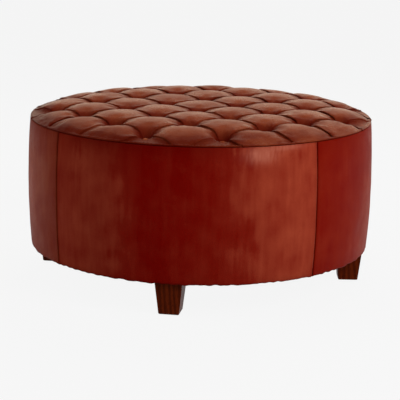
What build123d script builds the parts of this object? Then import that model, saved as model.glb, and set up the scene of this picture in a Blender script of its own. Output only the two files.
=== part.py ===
from build123d import *
import os
from math import asin, cos, degrees, hypot, radians, sin, sqrt

os.makedirs("parts", exist_ok=True)

# Round ottoman coffee table with a deep tufted leather top.
# Millimetres and degrees. The floor is z = 0, the drum stands on the Z axis and the legs on the X and Y axes.

# Overall sizes
drum_diameter = 914.0
overall_height = 457.0
leg_height = 83.0  # floor to the underside of the drum
seam_height = 425.0  # floor to the seam between side band and top
band_bulge = 7.5  # how far the band swells past its two edges
upholstery_turn = 3.3  # angle of the leather's seams and tufts against the legs

# Soft layers
leather = 1.4
top_wadding_depth = 8.0
foam_depth = 82.0  # deck board to the highest crest of the foam
soft_gap = 0.3  # clearance between soft layers that lie on each other

# Tufting
tuft_pitch = 93.0  # half the diagonal of one diamond
puff_radius = 190.0  # radius of the swelling between four buttons
crown_rise = 18.0  # how much lower the crests lie at the rim than at the centre
edge_roll = 45.0  # radius over which the top rolls down to the seam
edge_roll_lean = 25.0  # angle at which the roll leaves the seam, from upright
rim_lip = 4.0  # height of the leather over the seam at its lowest
rim_width = 20.0
button_margin = 55.0  # no button is set nearer the seam than this
button_diameter = 22.0
button_rim = 2.5
button_crown = 4.5
seat_sink = 1.0  # how far a button presses its seat below the tuft's corner
twine_diameter = 2.0
needle_gap = 0.3
foam_well_diameter = 16.0
deck_hole_diameter = 8.0
washer_diameter = 22.0
washer_thickness = 2.0
knot_diameter = 6.0

# Drum frame
board_thickness = 15.0
skin_thickness = 3.0
skin_diameter = 872.0
frame_gap = 0.2  # clearance between fitted wooden pieces
post_count = 8
post_width = 45.0
post_depth = 22.0
block_width = 80.0
block_length = 110.0
block_thickness = 22.0

# Screws through the boards into the posts
screw_diameter = 4.0
screw_length = 45.0
screw_head_diameter = 8.0
screw_point = 5.0
screw_gap = 0.1

# Legs and their fastenings
leg_circle_diameter = 808.0
leg_top_width = 68.0
leg_foot_width = 51.0
leg_arris = 1.5
foot_bevel = 2.5
leg_twists = {"leg_right": 9.0, "leg_back": 0.0, "leg_left": 0.0, "leg_front": 0.0}
bolt_diameter = 8.0
bolt_depth = 40.0  # length screwed into the leg
bolt_tip = 6.0
bolt_proud = 2.0  # length that stands out of the nut
bolt_gap = 0.5
thread_gap = 0.1
nut_flange_diameter = 22.0
nut_flange = 1.6
nut_barrel_diameter = 10.0
nut_barrel = 13.0
glide_diameter = 22.0
glide_thickness = 2.0
nail_diameter = 2.4
nail_length = 14.0

# Underside
dust_cloth = 0.8
dust_cloth_lap = 19.0  # how far the cloth covers the leather's turned edge
turn_clear = 7.0  # the turned edge stops this far short of the leg bolts
staples_per_quarter = 8
staple_crown = 10.0
staple_wire = 1.2
staple_leg = 8.0
staple_clear = 4.0

overrun = 5.0  # how far a cutting body passes the face that it cuts
full_turn = 360.0
quarter = full_turn / 4
upright = (0, 0, 1)
standing = (Align.CENTER, Align.CENTER, Align.MIN)
hanging = (Align.CENTER, Align.CENTER, Align.MAX)

# Sizes that follow from the ones above
drum_radius = drum_diameter / 2
belly_height = (leg_height + seam_height) / 2
half_band = (seam_height - leg_height) / 2
band_arc = (half_band**2 + band_bulge**2) / (2 * band_bulge)
seam_radius = drum_radius - band_bulge
flange_bottom = leg_height + dust_cloth
flange_top = flange_bottom + leather
base_top = flange_top + board_thickness
deck_top = overall_height - leather - top_wadding_depth - 2 * soft_gap - foam_depth
deck_bottom = deck_top - board_thickness
skin_radius = skin_diameter / 2
board_radius = skin_radius - skin_thickness - frame_gap
leg_circle = leg_circle_diameter / 2
flange_radius = leg_circle + bolt_diameter / 2 + turn_clear
needle_radius = twine_diameter / 2 + needle_gap
button_radius = button_diameter / 2
button_height = button_rim + button_crown
post_circle = sqrt((board_radius - frame_gap) ** 2 - (post_width / 2) ** 2) - post_depth / 2
post_angle = full_turn / post_count / 2
block_circle = sqrt((board_radius - frame_gap) ** 2 - (block_width / 2) ** 2) - block_length / 2
block_top = base_top + block_thickness
screw_hole_radius = screw_diameter / 2 + screw_gap
screw_sink_radius = screw_head_diameter / 2 + screw_gap
staple_circle = flange_radius + dust_cloth_lap / 2


def finish(piece, name):
    """Labels a finished piece and writes it."""
    piece.label = name
    export_step(piece, f"parts/{name}.step")


def polar(radius, angle):
    """The plan position at a radius and an angle from +X."""
    return (radius * cos(radians(angle)), radius * sin(radians(angle)))


def radial_plane(angle):
    """The upright plane through the drum's axis whose x runs outwards at an angle."""
    x, y = polar(1, angle)
    return Plane(origin=(0, 0, 0), x_dir=(x, y, 0), z_dir=(y, -x, 0))


def spoke_plane(radius, angle, height, turn=0.0):
    """A level plane at a radius and angle, its x running outwards and turned further by turn."""
    x, y = polar(radius, angle)
    return Plane(origin=(x, y, height), x_dir=(*polar(1, angle + turn), 0), z_dir=upright)


def band_radius(height, inset):
    """Radius of the swelling band at a height, taken inwards by inset."""
    return drum_radius - band_arc + sqrt((band_arc - inset) ** 2 - (height - belly_height) ** 2)


# The tufting lattice: buttons where i + j is odd, the crest of a puff where it is even
lattice_reach = range(-int(drum_radius / tuft_pitch) - 2, int(drum_radius / tuft_pitch) + 3)
lattice = [(i, j) for i in lattice_reach for j in lattice_reach]
neighbours = [(1, 0), (0, 1), (-1, 0), (0, -1)]
button_places = [
    (i, j) for i, j in lattice if (i + j) % 2 and hypot(i, j) * tuft_pitch < seam_radius - button_margin
]
puff_places = [
    (i, j)
    for i, j in lattice
    if (i + j) % 2 == 0 and min(hypot(i + a, j + b) for a, b in neighbours) * tuft_pitch < seam_radius
]
button_rings = sorted({i * i + j * j for i, j in button_places})
crown_share = (puff_radius**2 - (puff_radius - crown_rise) ** 2) / drum_radius**2
puff_centre_height = overall_height - puff_radius
lattice_plane = Plane(origin=(0, 0, 0), x_dir=(*polar(1, upholstery_turn), 0), z_dir=upright)


def on_lattice(i, j, height):
    """The point of the drum over a place of the lattice, at a height."""
    return lattice_plane.from_local_coords(Vector(i * tuft_pitch, j * tuft_pitch, height))


def ring_points(ring, height):
    """The button places of one ring, all of which lie equally deep."""
    return [on_lattice(i, j, height) for i, j in button_places if i * i + j * j == ring]


def seat_height(ring):
    """Height of the leather under the buttons of one ring."""
    from_axis = ring * tuft_pitch**2
    drop = crown_share * from_axis + (1 - crown_share) * tuft_pitch**2
    return puff_centre_height + sqrt(puff_radius**2 - drop) - seat_sink


def puff(i, j, inset, bottom):
    """One diamond of the top, a square prism under a part of a sphere.

    Each sphere is drawn towards the axis and made smaller by the same law, so neighbours meet exactly on
    their shared wall and the crests still fall towards the rim.
    """
    pull = 1 - crown_share
    from_axis = hypot(i, j) * tuft_pitch
    radius = sqrt((puff_radius - inset) ** 2 - crown_share * pull * from_axis**2)
    with BuildPart() as cell:
        with BuildSketch(lattice_plane.offset(bottom)):
            with Locations((i * tuft_pitch, j * tuft_pitch)):
                Rectangle(sqrt(2) * tuft_pitch, sqrt(2) * tuft_pitch, rotation=45)
        extrude(amount=overall_height - bottom)
        with Locations(on_lattice(pull * i, pull * j, puff_centre_height)):
            Sphere(radius, mode=Mode.INTERSECT)
    return cell.part


def tufted_form(inset, bottom):
    """The drum's tufted top as one solid, its outside taken inwards by inset."""
    rim = band_radius(seam_height, inset)
    waist = (bottom + seam_height) / 2
    roll_centre = Vector(seam_radius, seam_height) - Vector(*polar(edge_roll, edge_roll_lean))
    roll_middle = roll_centre + Vector(*polar(edge_roll - inset, (quarter + edge_roll_lean) / 2))
    roll_top = roll_centre + Vector(*polar(edge_roll - inset, quarter))
    with BuildPart() as form:
        add([puff(i, j, inset, bottom) for i, j in puff_places])
        # a low rail under the leather's edge, so that no pleat falls below the seam
        with BuildSketch(Plane.XZ):
            Polygon(
                (rim - rim_width, bottom),
                (rim, bottom),
                (rim, seam_height + rim_lip - inset),
                (rim - rim_width, seam_height - rim_lip - inset),
                align=None,
            )
        revolve(axis=Axis.Z)
        # the outline of the drum trims the puffs at the rim
        with BuildSketch(Plane.XZ):
            with BuildLine():
                Polyline((0, bottom), (band_radius(bottom, inset), bottom))
                ThreePointArc(
                    (band_radius(bottom, inset), bottom),
                    (band_radius(waist, inset), waist),
                    (rim, seam_height),
                )
                ThreePointArc((rim, seam_height), roll_middle, roll_top)
                Polyline(roll_top, (0, overall_height + overrun), (0, bottom))
            make_face()
        revolve(axis=Axis.Z, mode=Mode.INTERSECT)
        # each button presses a flat seat into its corner
        for ring in button_rings:
            with Locations(*ring_points(ring, seat_height(ring) - inset)):
                Cylinder(button_radius + soft_gap + inset, overall_height, align=standing, mode=Mode.SUBTRACT)
    return form.part


def needle_holes(radius, bottom):
    """The holes that the tufting twine runs through."""
    with BuildPart() as holes:
        with Locations(*[on_lattice(i, j, bottom) for i, j in button_places]):
            Cylinder(radius, overall_height, align=standing)
    return holes.part


# Tufted leather top, sewn to the band at its edge
with BuildPart() as top_cover:
    add(tufted_form(0, deck_top))
    add(tufted_form(leather, deck_top), mode=Mode.SUBTRACT)
    with BuildSketch(Plane.XY.offset(deck_top)):
        Circle(drum_radius + overrun)
        Circle(seam_radius - 2 * leather, mode=Mode.SUBTRACT)
    extrude(amount=seam_height - deck_top, mode=Mode.SUBTRACT)
    add(needle_holes(needle_radius, deck_top), mode=Mode.SUBTRACT)
finish(top_cover.part, "top_cover")

# Wadding between the leather and the foam, over the top and down the pad's side
with BuildPart() as top_wadding:
    add(tufted_form(leather + soft_gap, deck_top))
    add(tufted_form(leather + soft_gap + top_wadding_depth, deck_top), mode=Mode.SUBTRACT)
    add(needle_holes(needle_radius, deck_top), mode=Mode.SUBTRACT)
finish(top_wadding.part, "top_wadding")

# Foam pad on the deck board, with a well for each tuft's twine
with BuildPart() as foam_pad:
    add(tufted_form(leather + 2 * soft_gap + top_wadding_depth, deck_top))
    add(needle_holes(foam_well_diameter / 2, deck_top), mode=Mode.SUBTRACT)
finish(foam_pad.part, "foam_pad")

# Leather covered buttons
dome_radius = (button_radius**2 + button_crown**2) / (2 * button_crown)
with BuildPart() as button:
    Cylinder(button_radius, button_height, align=standing)
    with Locations((0, 0, button_height - dome_radius)):
        Sphere(dome_radius, mode=Mode.INTERSECT)
with BuildPart() as buttons:
    for ring in button_rings:
        with Locations(*ring_points(ring, seat_height(ring))):
            add(button.part)
finish(buttons.part, "buttons")

# Tufting twine, from each button's back down to a knot under the deck board
washer_bottom = deck_bottom - washer_thickness
knot_height = washer_bottom - knot_diameter / 2
with BuildPart() as tufting_twine:
    for ring in button_rings:
        with Locations(*ring_points(ring, knot_height)):
            Cylinder(twine_diameter / 2, seat_height(ring) - knot_height, align=standing)
    with Locations(*[on_lattice(i, j, knot_height) for i, j in button_places]):
        Sphere(knot_diameter / 2)
finish(tufting_twine.part, "tufting_twine")

# Washers that spread each knot's pull under the board
button_plan = [(i * tuft_pitch, j * tuft_pitch) for i, j in button_places]
with BuildPart() as knot_washers:
    with BuildSketch(lattice_plane.offset(washer_bottom)):
        with Locations(*button_plan):
            Circle(washer_diameter / 2)
            Circle(needle_radius, mode=Mode.SUBTRACT)
    extrude(amount=washer_thickness)
finish(knot_washers.part, "knot_washers")

# Round deck board under the foam, drilled for the twine and screwed to the posts
with BuildPart() as deck_board:
    with BuildSketch(Plane.XY.offset(deck_bottom)):
        Circle(board_radius)
    extrude(amount=board_thickness)
    with BuildSketch(lattice_plane.offset(deck_bottom)):
        with Locations(*button_plan):
            Circle(deck_hole_diameter / 2)
    extrude(amount=board_thickness, mode=Mode.SUBTRACT)
    with Locations(Plane.XY.offset(deck_top)):
        with PolarLocations(post_circle, post_count, start_angle=post_angle):
            CounterSinkHole(screw_hole_radius, screw_sink_radius, board_thickness)
finish(deck_board.part, "deck_board")

# Upright posts between the two boards, drilled at both ends for their screws
with BuildPart() as posts:
    with BuildSketch(Plane.XY.offset(base_top)):
        with PolarLocations(post_circle, post_count, start_angle=post_angle):
            Rectangle(post_depth, post_width)
    extrude(amount=deck_bottom - base_top)
    pilot_depth = screw_length - board_thickness + screw_gap
    with Locations(Plane.XY.offset(deck_bottom), Plane.XY.offset(base_top + pilot_depth)):
        with PolarLocations(post_circle, post_count, start_angle=post_angle):
            Hole(screw_hole_radius, pilot_depth)
finish(posts.part, "posts")

# One countersunk screw, its head's face at z = 0 and its point downwards
with BuildPart() as screw:
    with BuildSketch(Plane.XZ):
        shank = screw_diameter / 2
        Polygon(
            (0, 0),
            (screw_head_diameter / 2, 0),
            (shank, shank - screw_head_diameter / 2),
            (shank, screw_point - screw_length),
            (0, -screw_length),
            align=None,
        )
    revolve(axis=Axis.Z)
for name, head_plane in [
    ("deck_screws", Plane.XY.offset(deck_top)),
    ("base_screws", Plane.XY.offset(flange_top).rotated((2 * quarter, 0, 0))),
]:
    with BuildPart() as screws:
        with Locations(head_plane):
            with PolarLocations(post_circle, post_count, start_angle=post_angle):
                add(screw.part)
    finish(screws.part, name)

# Bent hardboard skin around both boards, in two halves that butt on posts
with BuildPart() as side_skin:
    butt_turn = degrees(frame_gap / skin_radius)
    for half in range(2):
        with BuildSketch(radial_plane(post_angle + 2 * quarter * half)):
            Polygon(
                (skin_radius - skin_thickness, flange_top),
                (skin_radius, flange_top),
                (skin_radius, deck_top),
                (skin_radius - skin_thickness, deck_top),
                align=None,
            )
        revolve(axis=Axis.Z, revolution_arc=2 * quarter - butt_turn)
finish(side_skin.part, "side_skin")

# Wadding around the skin, full enough to fill the swelling band
with BuildPart() as side_wadding:
    wad_inset = leather + soft_gap
    with BuildSketch(Plane.XZ):
        with BuildLine():
            wad_middle = (flange_top + deck_top) / 2
            ThreePointArc(
                (band_radius(flange_top, wad_inset), flange_top),
                (band_radius(wad_middle, wad_inset), wad_middle),
                (band_radius(deck_top, wad_inset), deck_top),
            )
            Polyline(
                (band_radius(deck_top, wad_inset), deck_top),
                (skin_radius + soft_gap, deck_top),
                (skin_radius + soft_gap, flange_top),
                (band_radius(flange_top, wad_inset), flange_top),
            )
        make_face()
    revolve(axis=Axis.Z)
finish(side_wadding.part, "side_wadding")

# Staples through the cloth and the leather's turned edge, evenly between one leg and the next
leg_reach = (hypot(leg_top_width, leg_top_width) + staple_crown) / 2 + staple_clear
leg_turn = degrees(asin(leg_reach / staple_circle))
staple_step = (quarter - 2 * leg_turn) / (staples_per_quarter - 1)
staple_spots = [
    spoke_plane(staple_circle, quarter * side + leg_turn + staple_step * k, leg_height).location
    for side in range(len(leg_twists))
    for k in range(staples_per_quarter)
]
prong_offset = (staple_crown - staple_wire) / 2
with BuildPart() as cover_staples:
    with Locations(*staple_spots):
        Box(staple_wire, staple_crown, staple_wire, align=hanging)
        with Locations((0, prong_offset), (0, -prong_offset)):
            Cylinder(staple_wire / 2, staple_leg, align=standing)
finish(cover_staples.part, "cover_staples")
with BuildPart() as staple_holes:
    with Locations(*staple_spots):
        with Locations((0, prong_offset), (0, -prong_offset)):
            Cylinder(staple_wire / 2 + thread_gap, staple_leg + thread_gap, align=standing)

# Round base board that carries the legs
with BuildPart() as base_board:
    with BuildSketch(Plane.XY.offset(flange_top)):
        Circle(board_radius)
        with PolarLocations(leg_circle, len(leg_twists)):
            Circle(bolt_diameter / 2 + bolt_gap, mode=Mode.SUBTRACT)
    extrude(amount=board_thickness)
    with Locations(Plane.XY.offset(flange_top).rotated((2 * quarter, 0, 0))):
        with PolarLocations(post_circle, post_count, start_angle=post_angle):
            CounterSinkHole(screw_hole_radius, screw_sink_radius, board_thickness)
    add(staple_holes.part, mode=Mode.SUBTRACT)
finish(base_board.part, "base_board")

# Four leather panels of the side band, sewn edge to edge and turned under the base board
seam_turns = {"band_right": 0, "band_back": 1, "band_left": 2, "band_front": 3}
for name, turns in seam_turns.items():
    with BuildPart() as panel:
        with BuildSketch(radial_plane(upholstery_turn + quarter * turns - quarter / 2)):
            with BuildLine():
                Polyline(
                    (band_radius(flange_bottom, 0), flange_bottom),
                    (flange_radius, flange_bottom),
                    (flange_radius, flange_top),
                    (band_radius(flange_top, leather), flange_top),
                )
                ThreePointArc(
                    (band_radius(flange_top, leather), flange_top),
                    (band_radius(belly_height, leather), belly_height),
                    (band_radius(seam_height, leather), seam_height),
                )
                Line((band_radius(seam_height, leather), seam_height), (seam_radius, seam_height))
                ThreePointArc(
                    (seam_radius, seam_height),
                    (drum_radius, belly_height),
                    (band_radius(flange_bottom, 0), flange_bottom),
                )
            make_face()
        revolve(axis=Axis.Z, revolution_arc=quarter)
        add(staple_holes.part, mode=Mode.SUBTRACT)
    finish(panel.part, name)

# Black cloth that closes the underside
with BuildPart() as dust_cover:
    with BuildSketch(Plane.XY.offset(leg_height)):
        Circle(flange_radius + dust_cloth_lap)
        with PolarLocations(leg_circle, len(leg_twists)):
            Circle(bolt_diameter / 2 + bolt_gap, mode=Mode.SUBTRACT)
    extrude(amount=dust_cloth)
    add(staple_holes.part, mode=Mode.SUBTRACT)
finish(dust_cover.part, "dust_cover")

# Blocks on the base board that the leg bolts are drawn up against
with BuildPart() as leg_blocks:
    with BuildSketch(Plane.XY.offset(base_top)):
        with PolarLocations(block_circle, len(leg_twists)):
            Rectangle(block_length, block_width)
        with PolarLocations(leg_circle, len(leg_twists)):
            Circle(nut_barrel_diameter / 2 + thread_gap, mode=Mode.SUBTRACT)
    extrude(amount=block_thickness)
finish(leg_blocks.part, "leg_blocks")

# Flanged nuts let into the blocks
with BuildPart() as t_nuts:
    with PolarLocations(leg_circle, len(leg_twists)):
        with Locations((0, 0, block_top)):
            Cylinder(nut_flange_diameter / 2, nut_flange, align=standing)
            Cylinder(nut_barrel_diameter / 2, nut_barrel, align=hanging)
        with Locations((0, 0, block_top + nut_flange)):
            Hole(bolt_diameter / 2 + thread_gap, nut_flange + nut_barrel)
finish(t_nuts.part, "t_nuts")

# Bolts that stand in the legs and reach through base, block and nut
bolt_foot = leg_height - bolt_depth
bolt_head = block_top + nut_flange + bolt_proud
with BuildPart() as hanger_bolts:
    with PolarLocations(leg_circle, len(leg_twists)):
        with Locations((0, 0, bolt_foot)):
            Cone(bolt_diameter / 4, bolt_diameter / 2, bolt_tip, align=standing)
        with Locations((0, 0, bolt_foot + bolt_tip)):
            Cylinder(bolt_diameter / 2, bolt_head - bolt_foot - bolt_tip, align=standing)
finish(hanger_bolts.part, "hanger_bolts")

# Square tapered legs, each turned on its bolt as far as it was screwed in
for quarters, (name, twist) in enumerate(leg_twists.items()):
    foot_plane = spoke_plane(leg_circle, quarter * quarters, glide_thickness, twist)
    top_plane = spoke_plane(leg_circle, quarter * quarters, leg_height, twist)
    with BuildPart() as leg:
        with BuildSketch(foot_plane):
            Rectangle(leg_foot_width, leg_foot_width)
        with BuildSketch(top_plane):
            Rectangle(leg_top_width, leg_top_width)
        loft()
        chamfer(leg.faces().sort_by(Axis.Z)[0].edges(), foot_bevel)
        arrises = leg.edges().filter_by(lambda edge: edge.bounding_box().size.Z > leg_height / 2)
        fillet(arrises, leg_arris)
        with Locations(top_plane):
            Hole(bolt_diameter / 2 + thread_gap, bolt_depth + thread_gap)
        with Locations(foot_plane.offset(nail_length + thread_gap)):
            Hole(nail_diameter / 2 + thread_gap, nail_length + thread_gap)
    finish(leg.part, name)

# A nailed glide under each leg
with BuildPart() as glides:
    with PolarLocations(leg_circle, len(leg_twists)):
        Cylinder(glide_diameter / 2, glide_thickness, align=standing)
        with Locations((0, 0, glide_thickness)):
            Cylinder(nail_diameter / 2, nail_length, align=standing)
finish(glides.part, "glides")
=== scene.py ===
import random
from math import atan2, cos, exp, floor, pi, radians, sin, sqrt

import bmesh
import bpy
import numpy as np
from mathutils import Matrix, Vector
from mathutils.noise import noise


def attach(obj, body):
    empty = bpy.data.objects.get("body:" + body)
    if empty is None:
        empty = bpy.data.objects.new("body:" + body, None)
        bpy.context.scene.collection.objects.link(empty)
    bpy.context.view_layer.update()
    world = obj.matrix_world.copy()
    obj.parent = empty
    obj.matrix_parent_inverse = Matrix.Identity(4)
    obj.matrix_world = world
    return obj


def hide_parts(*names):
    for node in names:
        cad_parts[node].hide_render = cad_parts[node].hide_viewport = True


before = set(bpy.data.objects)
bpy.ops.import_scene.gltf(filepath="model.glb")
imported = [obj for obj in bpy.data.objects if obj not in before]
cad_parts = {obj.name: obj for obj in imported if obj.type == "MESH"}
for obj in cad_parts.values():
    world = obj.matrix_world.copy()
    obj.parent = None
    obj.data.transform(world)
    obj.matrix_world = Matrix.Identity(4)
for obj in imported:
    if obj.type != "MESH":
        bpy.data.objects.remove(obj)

# Round tufted leather ottoman coffee table: the looks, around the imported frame.
# Shapes are worked out in millimetres and brought to the frame's metres when they are done.
scene = bpy.context.scene
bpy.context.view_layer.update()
mm = 0.001
fullTurn = 2 * pi
quarter = fullTurn / 4
white = (1.0, 1.0, 1.0)

# the drum as the CAD has it
drum = {
    "radius": 457.0,
    "seamRadius": 449.5,
    "seamHeight": 425.0,
    "hemHeight": 83.8,
    "bellyHeight": 254.0,
    "bandArc": 1952.85,
    "turn": 3.3,  # the upholstery against the legs, in degrees
    "deckTop": 365.0,
    "boardTop": 85.2,  # underside of the base board, on the leather's turned edge
    "turnedEdge": 415.0,  # inner edge of the leather under the base
    "skinRadius": 436.3,
    "leather": 0.0012,  # thickness in metres
}


def bandRadius(height):
    arc = drum["bandArc"]
    return drum["radius"] - arc + sqrt(arc**2 - (height - drum["bellyHeight"]) ** 2)


# the photograph's viewing angle
photoView = {
    "place": (0.6013, -3.6234, 1.042),
    "turn": 9.4,
    "pitch": 13.03,
    "roll": 1.03,
    "lens": 125.9,
    "sensor": 36.0,
    "clip": (0.05, 100.0),
}
view = radians(photoView["turn"])


def setCamera():
    turn, pitch, roll = (radians(photoView[k]) for k in ("turn", "pitch", "roll"))
    spin = Matrix.Rotation(turn, 3, "Z")
    level = spin @ Vector((1, 0, 0))
    tilt = spin @ Vector((0, sin(pitch), cos(pitch)))
    ahead = spin @ Vector((0, cos(pitch), -sin(pitch)))
    right = cos(roll) * level + sin(roll) * tilt
    up = -sin(roll) * level + cos(roll) * tilt
    data = bpy.data.cameras.new("photoCamera")
    data.lens, data.sensor_width = photoView["lens"], photoView["sensor"]
    data.clip_start, data.clip_end = photoView["clip"]
    camera = bpy.data.objects.new("photoCamera", data)
    scene.collection.objects.link(camera)
    axes = Matrix((right, up, -ahead)).transposed().to_4x4()
    camera.matrix_world = Matrix.Translation(photoView["place"]) @ axes
    scene.camera = camera


setCamera()
scene.view_settings.view_transform = "Standard"
print("camera set")


def feed(tree, value, place):
    # a socket is linked to the place, any other value is set there
    if isinstance(value, bpy.types.NodeSocket):
        tree.links.new(value, place)
    else:
        place.default_value = value


def give(tree, places, **values):
    # feeds sockets, i0, i1 and so on by number and the others by name, with _ for a space
    for name, value in values.items():
        feed(tree, value, places[int(name[1:]) if name[1:].isdigit() else name.replace("_", " ")])


def put(tree, kind, settings=None, **sockets):
    # adds a node and feeds its sockets
    made = tree.nodes.new("ShaderNode" + kind)
    for name, value in (settings or {}).items():
        setattr(made, name, value)
    give(tree, made.inputs, **sockets)
    return made


def calc(tree, how, first, second=0.0, third=None, clamp=False):
    made = put(tree, "Math", {"operation": how, "use_clamp": clamp}, i0=first, i1=second)
    if third is not None:
        feed(tree, third, made.inputs[2])
    return made.outputs[0]


def weigh(tree, first, second, shares):
    return calc(tree, "MULTIPLY_ADD", first, shares[0], calc(tree, "MULTIPLY", second, shares[1]))


def spread(tree, value, low, high, start=0.0, end=1.0, smooth=False):
    kind = "SMOOTHSTEP" if smooth else "LINEAR"
    made = put(tree, "MapRange", {"interpolation_type": kind}, Value=value)
    for name, number in (("From Min", low), ("From Max", high), ("To Min", start), ("To Max", end)):
        feed(tree, number, made.inputs[name])
    return made.outputs["Result"]


def tint(tree, factor, first, second, how="MIX"):
    made = tree.nodes.new("ShaderNodeMix")
    made.data_type, made.blend_type = "RGBA", how
    feed(tree, factor, made.inputs[0])
    for index, colour in ((6, first), (7, second)):
        linked = isinstance(colour, bpy.types.NodeSocket)
        feed(tree, colour if linked else (*colour[:3], 1.0), made.inputs[index])
    return made.outputs[2]


def vectorMath(tree, how, **sockets):
    return put(tree, "VectorMath", {"operation": how}, **sockets).outputs[0]


def softNoise(tree, where, scale, times=1.0, **more):
    # a noise texture whose scale is a multiple of another scale
    size = calc(tree, "MULTIPLY", scale, times)
    return put(tree, "TexNoise", None, Vector=where, Scale=size, **more).outputs


def cellPattern(tree, feature, where, scale, **more):
    made = put(tree, "TexVoronoi", {"feature": feature}, Vector=where, Scale=scale, **more)
    return made.outputs["Distance"]


def painted(tree, name):
    # a value that the mesh carries at its points, and 0 where it has none
    settings = {"attribute_type": "GEOMETRY", "attribute_name": name}
    return put(tree, "Attribute", settings).outputs["Fac"]


def newGroup(name, takes, gives):
    # a group that takes a vector and numbers with their usual values, and gives numbers
    tree = bpy.data.node_groups.new(name, "ShaderNodeTree")
    tree.interface.new_socket("Vector", in_out="INPUT", socket_type="NodeSocketVector")
    for label, value in takes.items():
        tree.interface.new_socket(label, in_out="INPUT", socket_type="NodeSocketFloat").default_value = value
    for label in gives:
        tree.interface.new_socket(label, in_out="OUTPUT", socket_type="NodeSocketFloat")
    return tree, tree.nodes.new("NodeGroupInput").outputs, tree.nodes.new("NodeGroupOutput").inputs


# pebbled hide; its scales are shares of the pebbles' or the clouds' own scale
hideForm = {
    "wander": 0.3, "drift": 0.0016, "domeSoft": 0.35, "creases": 0.55, "creaseWidth": 0.16, "fine": 2.2,
    "relief": (0.5, 0.4), "fineRelief": 0.18,  # creases and domes, and the fine grain
    "poreWidth": 0.5, "cloud": (0.36, 0.66), "scuffs": 4.5, "scuff": (0.5, 0.72),
}


def makeHideGroup():
    # creases between pebbles, fine pores and the cloudy mottling of a waxed leather
    takes = {"Pebble": 520.0, "Cloud": 14.0}
    tree, given, result = newGroup("hideGrain", takes, ("Height", "Pores", "Mottle", "Scuff"))
    form = hideForm
    where, pebble, cloud = given["Vector"], given["Pebble"], given["Cloud"]
    wander = softNoise(tree, where, pebble, form["wander"], Detail=2.0)["Color"]
    drift = vectorMath(tree, "SCALE", Vector=wander, Scale=form["drift"])
    bent = vectorMath(tree, "ADD", i0=where, i1=drift)
    domes = cellPattern(tree, "SMOOTH_F1", bent, pebble, Smoothness=form["domeSoft"])
    edges = cellPattern(tree, "DISTANCE_TO_EDGE", bent, calc(tree, "MULTIPLY", pebble, form["creases"]))
    fine = softNoise(tree, where, pebble, form["fine"], Detail=3.0)[0]
    crease = spread(tree, edges, 0.0, form["creaseWidth"], smooth=True)
    height = weigh(tree, crease, calc(tree, "SUBTRACT", 1.0, domes), form["relief"])
    broad = softNoise(tree, where, cloud, Detail=5.0, Roughness=0.62)[0]
    scuff = softNoise(tree, where, cloud, form["scuffs"], Detail=4.0, Roughness=0.7)[0]
    give(
        tree, result,
        Height=calc(tree, "MULTIPLY_ADD", fine, form["fineRelief"], height),
        Pores=spread(tree, crease, 0.0, form["poreWidth"], 1.0, 0.0),
        Mottle=spread(tree, broad, *form["cloud"], smooth=True),
        Scuff=spread(tree, scuff, *form["scuff"], smooth=True),
    )
    return tree


# timber; its scales are shares of the growth lines' own scale
timberForm = {
    "slow": 0.22, "rings": 0.45, "bend": 5.5, "pores": 12.0, "pore": (0.56, 0.7),
    "lines": (0.55, 0.45),  # rings and slow change in the growth lines
    "relief": (-0.6, 0.4),  # pores and growth lines
}


def makeTimberGroup():
    # growth lines along Z with pores in them
    takes = {"Lines": 90.0, "Stretch": 0.06}
    tree, given, result = newGroup("timberGrain", takes, ("Lines", "Pores", "Height"))
    form, scale = timberForm, given["Lines"]
    size = put(tree, "CombineXYZ", None, X=1.0, Y=1.0, Z=given["Stretch"]).outputs[0]
    drawn = vectorMath(tree, "MULTIPLY", i0=given["Vector"], i1=size)
    slow = softNoise(tree, drawn, scale, form["slow"], Detail=2.0)[0]
    rings = put(
        tree, "TexWave", {"wave_type": "BANDS", "bands_direction": "X"},
        Vector=drawn, Scale=calc(tree, "MULTIPLY", scale, form["rings"]),
        Distortion=form["bend"], Detail=3.0, Detail_Scale=1.4,
    ).outputs["Fac"]
    pores = softNoise(tree, drawn, scale, form["pores"], Detail=2.0)[0]
    lines = weigh(tree, rings, slow, form["lines"])
    pits = spread(tree, pores, *form["pore"], smooth=True)
    give(tree, result, Lines=lines, Pores=pits, Height=weigh(tree, pits, lines, form["relief"]))
    return tree


fibreForm = {"fuzz": 0.6, "relief": (0.6, 0.5), "patch": (0.35, 0.65), "rough": (0.95, 0.8)}


def makeFibreGroup():
    # matted fibres or open foam cells
    tree, given, result = newGroup("fibreMat", {"Cells": 600.0, "Patches": 30.0}, ("Height", "Patches"))
    where, scale = given["Vector"], given["Cells"]
    cells = cellPattern(tree, "F1", where, scale)
    fuzz = softNoise(tree, where, scale, fibreForm["fuzz"], Detail=4.0)[0]
    patch = softNoise(tree, where, given["Patches"], Detail=3.0)[0]
    height = weigh(tree, cells, fuzz, fibreForm["relief"])
    give(tree, result, Height=height, Patches=spread(tree, patch, *fibreForm["patch"]))
    return tree


hideGrain, timberGrain, fibreMat = makeHideGroup(), makeTimberGroup(), makeFibreGroup()


def newMaterial(name):
    material = bpy.data.materials.new(name)
    material.use_nodes = True
    tree = material.node_tree
    shader = tree.nodes["Principled BSDF"]
    where = tree.nodes.new("ShaderNodeTexCoord").outputs["Object"]
    return material, tree, shader, where


def useGroup(tree, group, where, **values):
    return put(tree, "Group", {"node_tree": group}, Vector=where, **values).outputs


def bump(tree, shader, height, distance):
    made = put(tree, "Bump", None, Height=height, Distance=distance)
    give(tree, shader.inputs, Normal=made.outputs["Normal"])


leatherForm = {
    "face": (0.05, 0.6), "worn": (0.45, 0.95),  # where deep gives way to face, and face to worn
    "stray": 0.05, "poreRough": 0.12,  # of the roughness
    "dusty": (0.45, 0.14, 0.09),  # where the hide is rubbed pale
    # painted shade: shares of the deep shade where the painted shade is darkest, and how dark the painted
    # shade is when it has no shine left
    "darkest": (0.5, 0.35, 0.3), "dullest": 0.5,
}


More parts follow.
